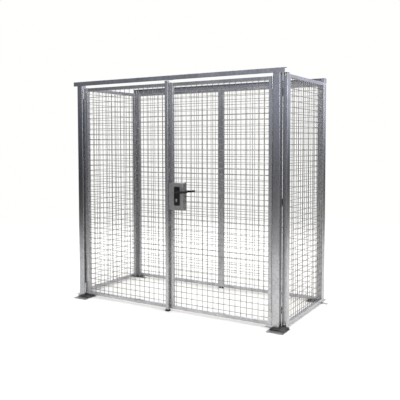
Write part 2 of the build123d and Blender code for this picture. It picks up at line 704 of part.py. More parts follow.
def lock_case():
    """Welded sheet box of the right leaf, open to the bolts, spindle and cylinder."""
    x = (LEAF_INNER_X, CASE_RIGHT_X)
    y = (CASE_FRONT_Y, LEAF_REAR_Y)
    z = (CASE_BOTTOM_Z, CASE_TOP_Z)
    case = block(x, y, z)
    case = fillet(case.edges().filter_by(Axis.Z), CASE_WALL)
    inner = [(limits[0] + CASE_WALL, limits[1] - CASE_WALL) for limits in (x, y, z)]
    case -= block(*inner)
    depth = y[1] - y[0] + 2 * OVERRUN
    case -= rod("y", LEVER_NECK_R + 2 * CYLINDER_PLAY, (SPINDLE_X, y[0] - OVERRUN, SPINDLE_Z), depth)
    body = (CYLINDER_BODY[0] + 2 * CYLINDER_PLAY, CYLINDER_BODY[1] + CYLINDER_PLAY)
    case -= cylinder_shape(CYLINDER_R + CYLINDER_PLAY, body, y[0] - 1, depth)
    for screw_z in PLATE_SCREW_LEVELS_Z:
        case -= rod("y", PLATE_SCREW_R + SCREW_FIT, (SPINDLE_X, y[0] - OVERRUN, screw_z), depth)
    for bolt_z, height, thick in STRIKE_SLOTS:
        slot_y = (BOLT_Y - thick / 2 - APERTURE_PLAY, BOLT_Y + thick / 2 + APERTURE_PLAY)
        slot_z = (bolt_z - height / 2 - APERTURE_PLAY, bolt_z + height / 2 + APERTURE_PLAY)
        case -= block((x[0] - OVERRUN, x[0] + CASE_WALL + OVERRUN), slot_y, slot_z)
    return case


def handle_plate(outside):
    """Long plate that carries a lever and the cylinder."""
    y = CASE_FRONT_Y - PLATE_THICK if outside else LEAF_REAR_Y
    tall = PLATE_TOP_Z - PLATE_BOTTOM_Z
    outline = RectangleRounded(PLATE_WIDTH, tall, PLATE_THICK)
    plate = TURNS["y"] * extrude(outline, PLATE_THICK)
    plate = Pos(SPINDLE_X, y, PLATE_BOTTOM_Z + tall / 2) * plate
    rim = plate.edges().group_by(Axis.Y)[0 if outside else -1]
    plate = fillet(rim, PLATE_THICK / 3)
    through = PLATE_THICK + 2 * OVERRUN
    plate -= rod("y", LEVER_NECK_R + PLUG_CLEARANCE, (SPINDLE_X, y - OVERRUN, SPINDLE_Z), through)
    body = (CYLINDER_BODY[0] + 2 * PLUG_CLEARANCE, CYLINDER_BODY[1] + 2 * PLUG_CLEARANCE)
    plate -= cylinder_shape(CYLINDER_R + PLUG_CLEARANCE, body, y - OVERRUN, through)
    screw_start = y + PLATE_THICK / 2 if outside else y - OVERRUN
    for z in PLATE_SCREW_LEVELS_Z:
        plate -= rod("y", PLATE_SCREW_R + SCREW_FIT, (SPINDLE_X, screw_start, z), through)
    return plate


def plate_screws():
    """Through screws from the inner plate into the outer one."""
    head_y = LEAF_REAR_Y + PLATE_THICK
    tip_y = CASE_FRONT_Y - PLATE_THICK / 2
    screws = []
    for z in PLATE_SCREW_LEVELS_Z:
        shank = rod("y", PLATE_SCREW_R, (SPINDLE_X, tip_y, z), head_y - tip_y + OVERRUN)
        head = rod("y", PLATE_SCREW_HEAD_R, (SPINDLE_X, head_y, z), PLATE_SCREW_HEAD)
        screws.append(shank.fuse(head))
    return screws


def lever(outside):
    """Lever handle: a round neck, then a flat grip that points to +X."""
    sign = -1 if outside else 1
    face_y = CASE_FRONT_Y if outside else LEAF_REAR_Y
    neck_end = face_y + sign * LEVER_REACH
    neck = rod("y", LEVER_NECK_R, (SPINDLE_X, min(face_y, neck_end), SPINDLE_Z), LEVER_REACH)
    grip_length = LEVER_LENGTH + LEVER_HEIGHT / 2
    outline = SlotOverall(grip_length, LEVER_HEIGHT)
    grip = Pos(SPINDLE_X + grip_length / 2 - LEVER_HEIGHT / 2, neck_end, SPINDLE_Z)
    grip = grip * TURNS["y"] * extrude(outline, sign * LEVER_DEPTH)
    grip = fillet(grip.edges(), LEVER_DEPTH / 4)
    socket = block(
        (SPINDLE_X - SPINDLE / 2, SPINDLE_X + SPINDLE / 2),
        sorted((face_y - sign, face_y + sign * SPINDLE_ENGAGED)),
        (SPINDLE_Z - SPINDLE / 2, SPINDLE_Z + SPINDLE / 2),
    )
    return neck.fuse(grip) - socket


def spindle():
    """Square spindle from lever to lever, with the follower's hole around it."""
    half = SPINDLE / 2
    y = (CASE_FRONT_Y - SPINDLE_ENGAGED, LEAF_REAR_Y + SPINDLE_ENGAGED)
    return block((SPINDLE_X - half, SPINDLE_X + half), y, (SPINDLE_Z - half, SPINDLE_Z + half))


def follower():
    """Lock hub that the spindle turns."""
    hub = rod("y", FOLLOWER_R, (SPINDLE_X, BOLT_Y - FOLLOWER_T / 2, SPINDLE_Z), FOLLOWER_T)
    return hub - spindle()


def bolt_bar(size, nose_x, z):
    """Lock bolt whose nose points to -X."""
    half_y = size[1] / 2
    half_z = size[2] / 2
    bar = block((nose_x, nose_x + size[0]), (BOLT_Y - half_y, BOLT_Y + half_y), (z - half_z, z + half_z))
    return chamfer(bar.edges().group_by(Axis.X)[0], NOSE_CHAMFER)


def key_plugs():
    """Turning plugs at both ends of the cylinder, with a plain keyway."""
    plugs = []
    for start, keyway_y in ((CYLINDER_Y[0], CYLINDER_Y[0]), (CYLINDER_Y[1] - PLUG_LENGTH, CYLINDER_Y[1])):
        plug = rod("y", PLUG_R, (SPINDLE_X, start, CYLINDER_Z), PLUG_LENGTH)
        slot_x = (SPINDLE_X - KEYWAY[0] / 2, SPINDLE_X + KEYWAY[0] / 2)
        slot_z = (CYLINDER_Z - KEYWAY[1] / 2, CYLINDER_Z + KEYWAY[1] / 2)
        plugs.append(plug - block(slot_x, (keyway_y - KEYWAY[2], keyway_y + KEYWAY[2]), slot_z))
    return plugs


def lock_cylinder():
    """Profile cylinder through case and plates, bored for its plugs."""
    length = CYLINDER_Y[1] - CYLINDER_Y[0]
    shape = cylinder_shape(CYLINDER_R, CYLINDER_BODY, CYLINDER_Y[0], length)
    start = (SPINDLE_X, CYLINDER_Y[0] - OVERRUN, CYLINDER_Z)
    return shape - rod("y", PLUG_R + PLUG_CLEARANCE, start, length + 2 * OVERRUN)


# ---------------------------------------------------------------- shoot bolts

def shoot_bolt(bottom_z, grip_z):
    """Round bolt behind the left closing stile, with a side grip."""
    bolt = rod("z", ROD_R, (ROD_X, ROD_Y, bottom_z), ROD_LENGTH)
    ends = bolt.edges().group_by(Axis.Z)
    bolt = chamfer(ends[-1] + ends[0], ROD_CHAMFER)
    return bolt.fuse(rod("y", ROD_GRIP_R, (ROD_X, ROD_Y, grip_z), ROD_GRIP_LENGTH))


def shoot_bolt_guides():
    """Guide blocks welded to the back of the left closing stile."""
    x = (ROD_X - GUIDE_WIDTH / 2, ROD_X + GUIDE_WIDTH / 2)
    guides = []
    for z in GUIDE_LEVELS_Z:
        body = block(x, (LEAF_REAR_Y, LEAF_REAR_Y + GUIDE_DEPTH), (z, z + GUIDE_HEIGHT))
        guides.append(body - rod("z", ROD_HOLE_R, (ROD_X, ROD_Y, z - OVERRUN), GUIDE_HEIGHT + 2 * OVERRUN))
    return guides


def bolt_keeper():
    """Drilled plate behind the front beam that takes the upper shoot bolt."""
    x = (ROD_X - KEEPER_WIDTH / 2, ROD_X + KEEPER_WIDTH / 2)
    plate = block(x, (FRONT_Y, FRONT_Y + KEEPER_REACH), (KEEPER_Z, KEEPER_Z + KEEPER_T))
    return plate - rod("z", KEEPER_HOLE_R, (ROD_X, ROD_Y, KEEPER_Z - OVERRUN), KEEPER_T + 2 * OVERRUN)


# ---------------------------------------------------------------- write the nodes

def write_frame():
    save("front_beam", angle_beam())
    save("rear_beam", rear_angle_beam())
    save("beam_bolts", beam_bolts())
    for side, name in SIDES:
        save("hinge_post_" + name, hinge_post(side))
        save("corner_post_front_" + name, front_corner_post(side))
        save("corner_post_rear_" + name, rear_corner_post(side))
    save("post_caps", post_caps())
    save("post_brackets", post_brackets())
    save("foot_plates", place_feet(foot_plate()))
    save("foot_pads", place_feet(foot_pad()))
    save("foot_screws", foot_screws())
    save("rear_glides", rear_glides())
    save("corner_bolts", corner_bolts())
    save("panel_joint_bolts", panel_joint_bolts())
    save("post_knuckles", post_knuckles())
    save("hinge_pins", hinge_pins())
    save("bolt_keeper", bolt_keeper())


def write_fixed_panels():
    side_low_y = FRONT_POST_BACK + CORNER_POST
    side_width = REAR_Y - CORNER_POST - side_low_y
    outer_x = BODY_HALF - PANEL_INSET
    for side, name in SIDES:
        low_x = outer_x if side > 0 else FRAME_TUBE - outer_x
        place = Pos(low_x, side_low_y, 0) * Rot(0, 0, 90)
        save_fixed_panel("side_panel_" + name, side_width, place, side_panel_holes(side))
    rear_width = BODY_HALF - CORNER_POST
    for side, name in SIDES:
        place = Pos(0 if side > 0 else -rear_width, REAR_PANEL_Y, 0)
        save_fixed_panel("rear_panel_" + name, rear_width, place, rear_panel_holes())


def write_leaves():
    for side, name in SIDES:
        stile, rails = leaf_tubes(side)
        save("hinge_stile_" + name, stile)
        save("leaf_rails_" + name, rails)
        save("closing_stile_" + name, closing_stile(side))
        save("leaf_mesh_" + name, leaf_mesh(side))
    save("leaf_knuckles_right", leaf_knuckles())
    save("leaf_knuckles_left", mirror_x(leaf_knuckles()))
    save("centre_bar", cover_bar())
    save("bar_end_caps", bar_end_caps())
    save("upper_shoot_bolt", shoot_bolt(UPPER_ROD_TOP_Z - ROD_LENGTH, GUIDE_LEVELS_Z[2] + UPPER_GRIP_RISE))
    save("lower_shoot_bolt", shoot_bolt(LOWER_ROD_BOTTOM_Z, GUIDE_LEVELS_Z[1] - LOWER_GRIP_DROP))
    save("shoot_bolt_guides", shoot_bolt_guides())


def write_lock():
    save("lock_case", lock_case())
    save("outer_handle_plate", handle_plate(True))
    save("inner_handle_plate", handle_plate(False))
    save("plate_screws", plate_screws())
    save("outer_lever", lever(True))
    save("inner_lever", lever(False))
    save("spindle", spindle())
    save("follower", follower())
    save("lock_cylinder", lock_cylinder())
    save("key_plugs", key_plugs())
    save("latch_bolt", bolt_bar(LATCH, LEAF_INNER_X - LATCH_PROUD, SPINDLE_Z))
    save("dead_bolt", bolt_bar(DEAD_BOLT, LEAF_INNER_X + APERTURE_PLAY, SPINDLE_Z - DEAD_BOLT_DROP))


write_frame()
write_fixed_panels()
write_leaves()
write_lock()
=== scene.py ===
import json
import math
import random

import bmesh
import bpy
from mathutils import Matrix, Vector


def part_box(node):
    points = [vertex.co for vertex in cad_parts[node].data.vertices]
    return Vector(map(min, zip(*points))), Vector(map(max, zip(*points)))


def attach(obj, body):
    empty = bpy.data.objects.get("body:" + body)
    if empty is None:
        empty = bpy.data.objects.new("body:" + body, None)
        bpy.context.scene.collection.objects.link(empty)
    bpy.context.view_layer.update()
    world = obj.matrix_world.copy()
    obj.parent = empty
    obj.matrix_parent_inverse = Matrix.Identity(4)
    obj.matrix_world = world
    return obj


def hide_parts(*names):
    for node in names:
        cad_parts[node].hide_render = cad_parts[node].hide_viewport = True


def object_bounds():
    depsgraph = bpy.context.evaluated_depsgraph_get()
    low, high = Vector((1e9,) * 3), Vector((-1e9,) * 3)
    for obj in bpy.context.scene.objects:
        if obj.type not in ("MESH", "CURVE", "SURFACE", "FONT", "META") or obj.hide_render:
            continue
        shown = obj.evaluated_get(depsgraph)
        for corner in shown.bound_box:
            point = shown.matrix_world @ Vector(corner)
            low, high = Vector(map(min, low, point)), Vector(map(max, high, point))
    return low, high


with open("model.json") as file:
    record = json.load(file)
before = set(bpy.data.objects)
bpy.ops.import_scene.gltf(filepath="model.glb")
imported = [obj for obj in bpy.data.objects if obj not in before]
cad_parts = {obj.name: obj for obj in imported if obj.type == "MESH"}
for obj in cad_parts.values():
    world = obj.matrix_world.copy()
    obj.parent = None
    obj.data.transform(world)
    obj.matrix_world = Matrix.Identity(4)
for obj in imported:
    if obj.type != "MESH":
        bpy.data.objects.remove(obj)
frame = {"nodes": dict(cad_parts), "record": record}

cad_low, cad_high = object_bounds()
random.seed(11)
nodes = frame["nodes"]

# ------------------------------------------------------------ sizes, in metres

WIRE_RADIUS = 0.0023
WIRE_SIDES = 10
WIRE_PRESS = 0.92          # crossed wires sit this share of a radius off the middle
WIRE_STEP = 0.2            # length of one straight stretch of a wire
WIRE_WANDER = 0.0004       # how far a welded wire strays from straight
MESH_PITCH = 0.05
LEAF_PITCH = 0.0524
LEAF_WIRES = 17
LEAF_ROWS = 38
LEAF_FIRST_ROW = 0.08
LEAF_FIRST_WIRE = {"right": 0.055, "left": 0.0834}

BEAD_PITCH = 0.0035        # length of one ripple and its neighbour
BEAD_SIDES = 8
BEAD_RIPPLE = 0.16
BEAD_UNEVEN = 0.08
BEAD_END = 0.45
FRAME_BEAD = 0.0018
POST_KNUCKLE_BEAD = 0.0014
LEAF_BEAD = 0.0016
CORNER_GAP = 0.003         # a corner bead stops this far from the tube's edges
KNUCKLE_HEIGHT = 0.0497
POST_KNUCKLE_SPAN = (0.004, 0.046)
LEAF_KNUCKLE_SINK = 0.0005
LEAF_KNUCKLE_START = 0.003
LEAF_KNUCKLE_LENGTH = 0.044
BAR_WELDS = 9
BAR_WELD_FIRST = 0.06
BAR_WELD_PITCH = 0.235
BAR_WELD_LENGTH = 0.03
CASE_WELD_SIDES = (0.004, 0.026)
CASE_WELD_BACK = 0.029
CASE_WELD_LENGTH = 0.027

LEVER_TUBE = 0.0108
LEVER_POINTS = 9
LEVER_SIDES = 20
LEVER_AXIS_IN = 0.009      # the turning axis lies this far inside the lever's box
LEVER_REACH = 0.036
LEVER_BEND = 0.02
LEVER_END_GAP = 0.004
LEVER_SAG = 0.0025
LEVER_UPTURN = 0.004
LEVER_TAPER = 0.12
LEVER_FLATTEN = 0.30
LEVER_FLATTEN_RATE = 4
LEVER_TIP = ((0.86, 0.0022), (0.55, 0.0038))

FLOOR_HALF = 8.0
FLOOR_CELLS = 24
FLOOR_DROP = 0.0005
FLOOR_FADE = (2.2, 7.0)    # from here to here the floor melts into the backdrop


# ------------------------------------------------------------ materials

def node_tree(name):
    """New node material with a shader joined to the output."""
    made = bpy.data.materials.new(name)
    made.use_nodes = True
    tree = made.node_tree
    shader = tree.nodes["Principled BSDF"]
    return made, tree, shader


def add(tree, kind, values=None, **settings):
    """Add a node, set its properties and then its input values."""
    node = tree.nodes.new(kind)
    for key, value in settings.items():
        setattr(node, key, value)
    for key, value in (values or {}).items():
        node.inputs[key].default_value = value
    return node


def ramp(tree, source, stops):
    """Colour ramp over a source socket."""
    node = tree.nodes.new("ShaderNodeValToRGB")
    band = node.color_ramp
    band.elements[0].position = stops[0][0]
    band.elements[0].color = (*stops[0][1], 1)
    band.elements[1].position = stops[-1][0]
    band.elements[1].color = (*stops[-1][1], 1)
    for place, colour in stops[1:-1]:
        element = band.elements.new(place)
        element.color = (*colour, 1)
    tree.links.new(source, node.inputs["Fac"])
    return node.outputs["Color"]


def spread(tree, source, low, high, start=0.0, end=1.0):
    """Map a socket that runs from start to end onto a range."""
    limits = {"From Min": start, "From Max": end, "To Min": low, "To Max": high}
    node = add(tree, "ShaderNodeMapRange", limits)
    tree.links.new(source, node.inputs["Value"])
    return node.outputs["Result"]


def blend(tree, kind, factor, first, second):
    """Mix two colour sockets."""
    node = tree.nodes.new("ShaderNodeMixRGB")
    node.blend_type = kind
    node.inputs["Fac"].default_value = factor
    tree.links.new(first, node.inputs["Color1"])
    tree.links.new(second, node.inputs["Color2"])
    return node.outputs["Color"]


def noise(tree, place, scale, detail=4.0, stretch=(1, 1, 1)):
    """Noise at a scale per metre, stretched along the axes."""
    mapping = add(tree, "ShaderNodeMapping")
    mapping.inputs["Scale"].default_value = stretch
    tree.links.new(place, mapping.inputs["Vector"])
    node = add(tree, "ShaderNodeTexNoise", {"Scale": scale, "Detail": detail})
    tree.links.new(mapping.outputs["Vector"], node.inputs["Vector"])
    return node.outputs["Fac"]


def bump(tree, shader, heights, strength, distance):
    """Bump from a height socket."""
    node = add(tree, "ShaderNodeBump", {"Strength": strength, "Distance": distance})
    tree.links.new(heights, node.inputs["Height"])
    tree.links.new(node.outputs["Normal"], shader.inputs["Normal"])


SPANGLE_WARP_SCALE = 30.0
SPANGLE_WARP = (0.02, 0.02, 0.02)
STREAK_SHARE = 0.8
DULLING_MIX = 0.5
GRAIN_MIX = 0.12
PATINA_STOPS = [(0.34, (0.70, 0.71, 0.74)), (0.62, (1, 1, 1))]
STREAK_STOPS = [(0.36, (0.80, 0.80, 0.80)), (0.6, (1, 1, 1))]


def galvanised(name, dark, light, spangle, rough, stain=0.5):
    """Hot-dip zinc: spangle crystals, cloudy patina, vertical run marks and fine grain."""
    made, tree, shader = node_tree(name)
    place = tree.nodes.new("ShaderNodeTexCoord").outputs["Object"]
    shader.inputs["Metallic"].default_value = 1.0
    warp = add(tree, "ShaderNodeTexNoise", {"Scale": SPANGLE_WARP_SCALE, "Detail": 2.0})
    tree.links.new(place, warp.inputs["Vector"])
    shifted = add(tree, "ShaderNodeVectorMath", operation="MULTIPLY_ADD")
    tree.links.new(warp.outputs["Color"], shifted.inputs[0])
    shifted.inputs[1].default_value = SPANGLE_WARP
    tree.links.new(place, shifted.inputs[2])
    crystals = add(tree, "ShaderNodeTexVoronoi", {"Scale": spangle})
    tree.links.new(shifted.outputs["Vector"], crystals.inputs["Vector"])
    cell = add(tree, "ShaderNodeRGBToBW")
    tree.links.new(crystals.outputs["Color"], cell.inputs["Color"])
    clouds = noise(tree, place, 5.0, 5.0, (1, 1, 0.45))
    runs = noise(tree, place, 26.0, 3.0, (1, 1, 0.06))
    grain = noise(tree, place, 900.0, 2.0)
    base = ramp(tree, cell.outputs["Val"], [(0.25, dark), (0.75, light)])
    patina = ramp(tree, clouds, PATINA_STOPS)
    streaks = ramp(tree, runs, STREAK_STOPS)
    tone = blend(tree, "MULTIPLY", stain, base, patina)
    tone = blend(tree, "MULTIPLY", stain * STREAK_SHARE, tone, streaks)
    tree.links.new(tone, shader.inputs["Base Color"])
    dulling = blend(tree, "MIX", DULLING_MIX, cell.outputs["Val"], clouds)
    tree.links.new(spread(tree, dulling, rough[1], rough[0]), shader.inputs["Roughness"])
    heights = blend(tree, "MIX", GRAIN_MIX, cell.outputs["Val"], grain)
    bump(tree, shader, heights, 0.035, 0.0004)
    return made


def plated(name, dark, light, rough=(0.2, 0.38), grain_scale=300.0):
    """Plated or drawn steel with fine grain and light soiling."""
    made, tree, shader = node_tree(name)
    place = tree.nodes.new("ShaderNodeTexCoord").outputs["Object"]
    shader.inputs["Metallic"].default_value = 1.0
    soil = noise(tree, place, 40.0, 5.0)
    grain = noise(tree, place, grain_scale, 3.0)
    tree.links.new(ramp(tree, soil, [(0.35, dark), (0.62, light)]), shader.inputs["Base Color"])
    tree.links.new(spread(tree, grain, rough[0], rough[1]), shader.inputs["Roughness"])
    bump(tree, shader, grain, 0.12, 0.0003)
    return made


def moulded(name, dark, light, rough, scale, strength=0.25):
    """Moulded plastic, or the near-black pads whose colour is painted shade, with a fine surface
    grain, dust and scuffs.
    """
    made, tree, shader = node_tree(name)
    place = tree.nodes.new("ShaderNodeTexCoord").outputs["Object"]
    dust = noise(tree, place, 25.0, 6.0)
    grain = noise(tree, place, scale, 2.0)
    tree.links.new(ramp(tree, dust, [(0.4, dark), (0.7, light)]), shader.inputs["Base Color"])
    tree.links.new(spread(tree, dust, rough[0], rough[1]), shader.inputs["Roughness"])
    shader.inputs["Specular IOR Level"].default_value = 0.3
    bump(tree, shader, grain, strength, 0.0003)
    return made


def floor_material():
    """Pale matt studio floor with the faintest mottling, which melts into the backdrop."""
    made, tree, shader = node_tree("studio_floor")
    place = tree.nodes.new("ShaderNodeTexCoord").outputs["Object"]
    mottle = noise(tree, place, 2.0, 4.0)
    tone = ramp(tree, mottle, [(0.3, (0.90, 0.882, 0.855)), (0.7, (0.93, 0.912, 0.885))])
    tree.links.new(tone, shader.inputs["Base Color"])
    shader.inputs["Roughness"].default_value = 0.8
    shader.inputs["Specular IOR Level"].default_value = 0.2
    reach = add(tree, "ShaderNodeVectorMath", operation="LENGTH")
    tree.links.new(place, reach.inputs[0])
    limits = {"From Min": FLOOR_FADE[0], "From Max": FLOOR_FADE[1]}
    fade = add(tree, "ShaderNodeMapRange", limits, interpolation_type="SMOOTHSTEP")
    tree.links.new(reach.outputs["Value"], fade.inputs["Value"])
    clear = tree.nodes.new("ShaderNodeBsdfTransparent")
    mix = tree.nodes.new("ShaderNodeMixShader")
    tree.links.new(fade.outputs["Result"], mix.inputs["Fac"])
    tree.links.new(shader.outputs["BSDF"], mix.inputs[1])
    tree.links.new(clear.outputs["BSDF"], mix.inputs[2])
    tree.links.new(mix.outputs["Shader"], tree.nodes["Material Output"].inputs["Surface"])
    return made


# colours dark and light, spangle per metre, roughness range, stain
MATERIALS = {
    "galvanised_posts": galvanised(
        "zinc_posts", (0.385, 0.386, 0.396), (0.46, 0.461, 0.474), 75.0, (0.16, 0.28),
    ),
    "galvanised_tube": galvanised(
        "zinc_tube", (0.42, 0.42, 0.424), (0.52, 0.52, 0.524), 95.0, (0.22, 0.36),
    ),
    "galvanised_plate": galvanised(
        "zinc_plate", (0.36, 0.36, 0.37), (0.62, 0.62, 0.63), 60.0, (0.36, 0.58), 0.8,
    ),
    "mesh_wire": plated(
        "zinc_wire", (0.165, 0.158, 0.145), (0.34, 0.327, 0.302), (0.22, 0.36), 120.0,
    ),
    "zinc_sheet": galvanised(
        "zinc_sheet", (0.27, 0.265, 0.262), (0.38, 0.375, 0.37), 140.0, (0.34, 0.5), 0.6,
    ),
    "zinc_fasteners": plated("zinc_fastener", (0.26, 0.26, 0.28), (0.55, 0.55, 0.57)),
    "bright_steel": plated("bright_steel", (0.45, 0.45, 0.46), (0.70, 0.70, 0.71)),
    "nickel_brass": plated("nickel_brass", (0.52, 0.48, 0.38), (0.76, 0.72, 0.60)),
    "handle_plastic": moulded(
        "handle_black", (0.003, 0.003, 0.003), (0.009, 0.009, 0.010), (0.26, 0.4), 1500.0,
    ),
    "black_plastic": moulded(
        "cap_black", (0.012, 0.012, 0.013), (0.05, 0.05, 0.05), (0.45, 0.65), 700.0,
    ),
    # near-black pads under the posts: painted shade, a dark part put in place of the shadow gap
    # beneath each post's base
    "rubber_pad": moulded(
        "pad_painted_shade", (0.025, 0.025, 0.025), (0.085, 0.082, 0.078), (0.65, 0.85), 400.0,
        strength=0.5,
    ),
}
WELD = plated("zinc_weld", (0.36, 0.37, 0.40), (0.62, 0.63, 0.66), (0.34, 0.52), 500.0)


def paint(piece, made):
    """Give a piece one material."""
    piece.data.materials.clear()
    piece.data.materials.append(made)


for row in frame["record"]["subparts"]:
    paint(nodes[row["node"]], MATERIALS[row["material_slot"]])


# ------------------------------------------------------------ building helpers

def mesh_piece(name, shape, made, body):
    """Turn a bmesh into a piece that rides on a body."""
    data = bpy.data.meshes.new(name)
    bmesh.ops.recalc_face_normals(shape, faces=shape.faces)
    shape.to_mesh(data)
    shape.free()
    data.shade_smooth()
    piece = bpy.data.objects.new(name, data)
    bpy.context.scene.collection.objects.link(piece)
    paint(piece, made)
    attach(piece, body)
    return piece


def ring(shape, centre, along, radius, sides):
    """Circle of vertices around a point, square to a direction."""
    side = along.orthogonal().normalized()
    other = along.cross(side).normalized()
    made = []
    for i in range(sides):
        turn = 2 * math.pi * i / sides
        out = (side * math.cos(turn) + other * math.sin(turn)) * radius
        made.append(shape.verts.new(centre + out))
    return made


def skin(shape, rings):
    """Join rings of vertices into a closed tube."""
    for first, second in zip(rings, rings[1:]):
        count = len(first)
        for i in range(count):
            j = (i + 1) % count
            shape.faces.new((first[i], first[j], second[j], second[i]))
    shape.faces.new(rings[0])
    shape.faces.new(rings[-1])


def wander_wire(shape, start, end):
    """Drawn wire between two points, not quite straight."""
    along = (end - start).normalized()
    steps = max(2, round((end - start).length / WIRE_STEP))
    rings = []
    for i in range(steps + 1):
        place = start.lerp(end, i / steps)
        if 0 < i < steps:
            stray = Vector([random.uniform(-1, 1) for _ in range(3)]) * WIRE_WANDER
            place += stray - along * stray.dot(along)
        rings.append(ring(shape, place, along, WIRE_RADIUS, WIRE_SIDES))
    skin(shape, rings)


def weld_bead(shape, start, end, radius):
    """Rippled weld bead, half sunk where two pieces meet."""
    along = (end - start).normalized()
    steps = max(4, round((end - start).length / BEAD_PITCH) * 2)
    rings = []
    for i in range(steps + 1):
        swell = 1.0 + BEAD_RIPPLE * (i % 2) + random.uniform(-BEAD_UNEVEN, BEAD_UNEVEN)
        fade = BEAD_END if i in (0, steps) else 1.0
        place = start.lerp(end, i / steps)
        rings.append(ring(shape, place, along, radius * swell * fade, BEAD_SIDES))
    skin(shape, rings)


# ------------------------------------------------------------ welded meshes

def even_steps(low, high, pitch):
    """Wire places at a pitch, centred between two limits."""
    count = int((high - low) / pitch + 1e-6)
    first = (low + high) / 2 - (count - 1) * pitch / 2
    return [first + pitch * i for i in range(count)]


def spans(low, high, gap):
    """The stretches of a wire that a gap leaves."""
    if gap is None:
        return [(low, high)]
    return [(a, b) for a, b in ((low, gap[0]), (gap[1], high)) if b - a > WIRE_RADIUS]


def round_mesh(node, body, across, columns, levels, hole=None):
    """Round wires in place of a CAD mesh; across is 0 for X or 1 for Y."""
    low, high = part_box(node)
    depth = 1 - across
    middle = (low[depth] + high[depth]) / 2
    towards = 1.0 if across == 0 else -1.0
    shape = bmesh.new()

    def point(along, off, z):
        place = [0.0, 0.0, z]
        place[across] = along
        place[depth] = middle + off
        return Vector(place)

    off = WIRE_RADIUS * WIRE_PRESS * towards
    for along in columns:
        cut = hole[1] if hole and hole[0][0] < along < hole[0][1] else None
        for a, b in spans(low.z, high.z, cut):
            wander_wire(shape, point(along, off, a), point(along, off, b))
    for z in levels:
        cut = hole[0] if hole and hole[1][0] < z < hole[1][1] else None
        for a, b in spans(low[across], high[across], cut):
            wander_wire(shape, point(a, -off, z), point(b, -off, z))
    piece = mesh_piece(node + "_wires", shape, MATERIALS["mesh_wire"], body)
    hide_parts(node)


def make_meshes():
    """All six welded meshes."""
    for side in ("left", "right"):
        low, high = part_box(f"side_panel_{side}_mesh")
        round_mesh(
            f"side_panel_{side}_mesh", "frame", 1,
            even_steps(low.y, high.y, MESH_PITCH), even_steps(low.z, high.z, MESH_PITCH),
        )
        low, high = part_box(f"rear_panel_{side}_mesh")
        round_mesh(
            f"rear_panel_{side}_mesh", "frame", 0,
            even_steps(low.x, high.x, MESH_PITCH), even_steps(low.z, high.z, MESH_PITCH),
        )
    case_low, case_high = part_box("lock_case")
    levels = [LEAF_FIRST_ROW + MESH_PITCH * i for i in range(LEAF_ROWS)]
    for side, sign in (("left", -1), ("right", 1)):
        start = LEAF_FIRST_WIRE[side]
        columns = [sign * (start + LEAF_PITCH * i) for i in range(LEAF_WIRES)]
        hole = None
        if side == "right":
            hole = ((0.0, case_high.x), (case_low.z, case_high.z))
        round_mesh(f"leaf_mesh_{side}", side + "_door", 0, columns, levels, hole)


# ------------------------------------------------------------ levers

def lever_path(sign, face_y):
    """Centre line of a lever: out of the plate, round a bend and along the door."""
    low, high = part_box("outer_lever")
    axis = Vector((low.x + LEVER_AXIS_IN, 0, (low.z + high.z) / 2))
    straight = LEVER_REACH - LEVER_BEND
    path = [axis + Vector((0, face_y, 0)), axis + Vector((0, face_y + sign * straight, 0))]
    for i in range(1, LEVER_POINTS):
        turn = math.pi / 2 * i / LEVER_POINTS
        along = LEVER_BEND * (1 - math.cos(turn))
        out = straight + LEVER_BEND * math.sin(turn)
        path.append(axis + Vector((along, face_y + sign * out, 0)))
    end = high.x - axis.x
    for i in range(1, LEVER_POINTS + 1):
        part = i / LEVER_POINTS
        along = LEVER_BEND + (end - LEVER_BEND - LEVER_END_GAP) * part
        dip = -LEVER_SAG * math.sin(math.pi * part) + LEVER_UPTURN * part ** 3
        path.append(axis + Vector((along, face_y + sign * LEVER_REACH, dip)))
    return path


def make_lever(name, sign, face_y):
    """Bent lever with an oval grip and a rounded end."""
    path = lever_path(sign, face_y)
    shape = bmesh.new()
    rings = []
    count = len(path)
    turned = [2 * math.pi * k / LEVER_SIDES for k in range(LEVER_SIDES)]
    for i, place in enumerate(path):
        along = (path[min(i + 1, count - 1)] - path[max(i - 1, 0)]).normalized()
        part = max(0.0, (place.x - path[0].x) / (path[-1].x - path[0].x))
        tall = LEVER_TUBE * (1.0 - LEVER_TAPER * part)
        thick = LEVER_TUBE * (1.0 - LEVER_FLATTEN * min(1.0, part * LEVER_FLATTEN_RATE))
        across = Vector((0, 0, 1)).cross(along).normalized()
        up = along.cross(across).normalized()
        rings.append([
            shape.verts.new(place + across * math.cos(a) * thick + up * math.sin(a) * tall)
            for a in turned
        ])
    tip = path[-1]
    last = rings[-1]
    for shrink, ahead in LEVER_TIP:
        rings.append([
            shape.verts.new(tip + (v.co - tip) * shrink + Vector((ahead, 0, 0))) for v in last
        ])
    skin(shape, rings)
    made = MATERIALS["handle_plastic"]
    piece = mesh_piece(name + "_grip", shape, made, "handle")
    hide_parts(name)


def make_levers():
    """Outer and inner lever, each starting at its end in the door."""
    make_lever("outer_lever", -1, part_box("outer_lever")[1].y)
    make_lever("inner_lever", 1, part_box("inner_lever")[0].y)


# ------------------------------------------------------------ welds

def frame_corner_welds(shape, rails, across):
    """Beads along the joints between a frame's rails and stiles, on both faces."""
    low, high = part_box(rails)
    depth = 1 - across
    tube = high[depth] - low[depth]
    for along in (low[across], high[across]):
        for z in (low.z, high.z - tube):
            for face in (low[depth], high[depth]):
                ends = []
                for level in (z + CORNER_GAP, z + tube - CORNER_GAP):
                    place = [0.0, 0.0, level]
                    place[across] = along
                    place[depth] = face
                    ends.append(Vector(place))
                weld_bead(shape, *ends, FRAME_BEAD)


def knuckle_bottoms(low, high):
    """Heights of the lower ends of the two hinge knuckles on one side."""
    return (low.z, high.z - KNUCKLE_HEIGHT)


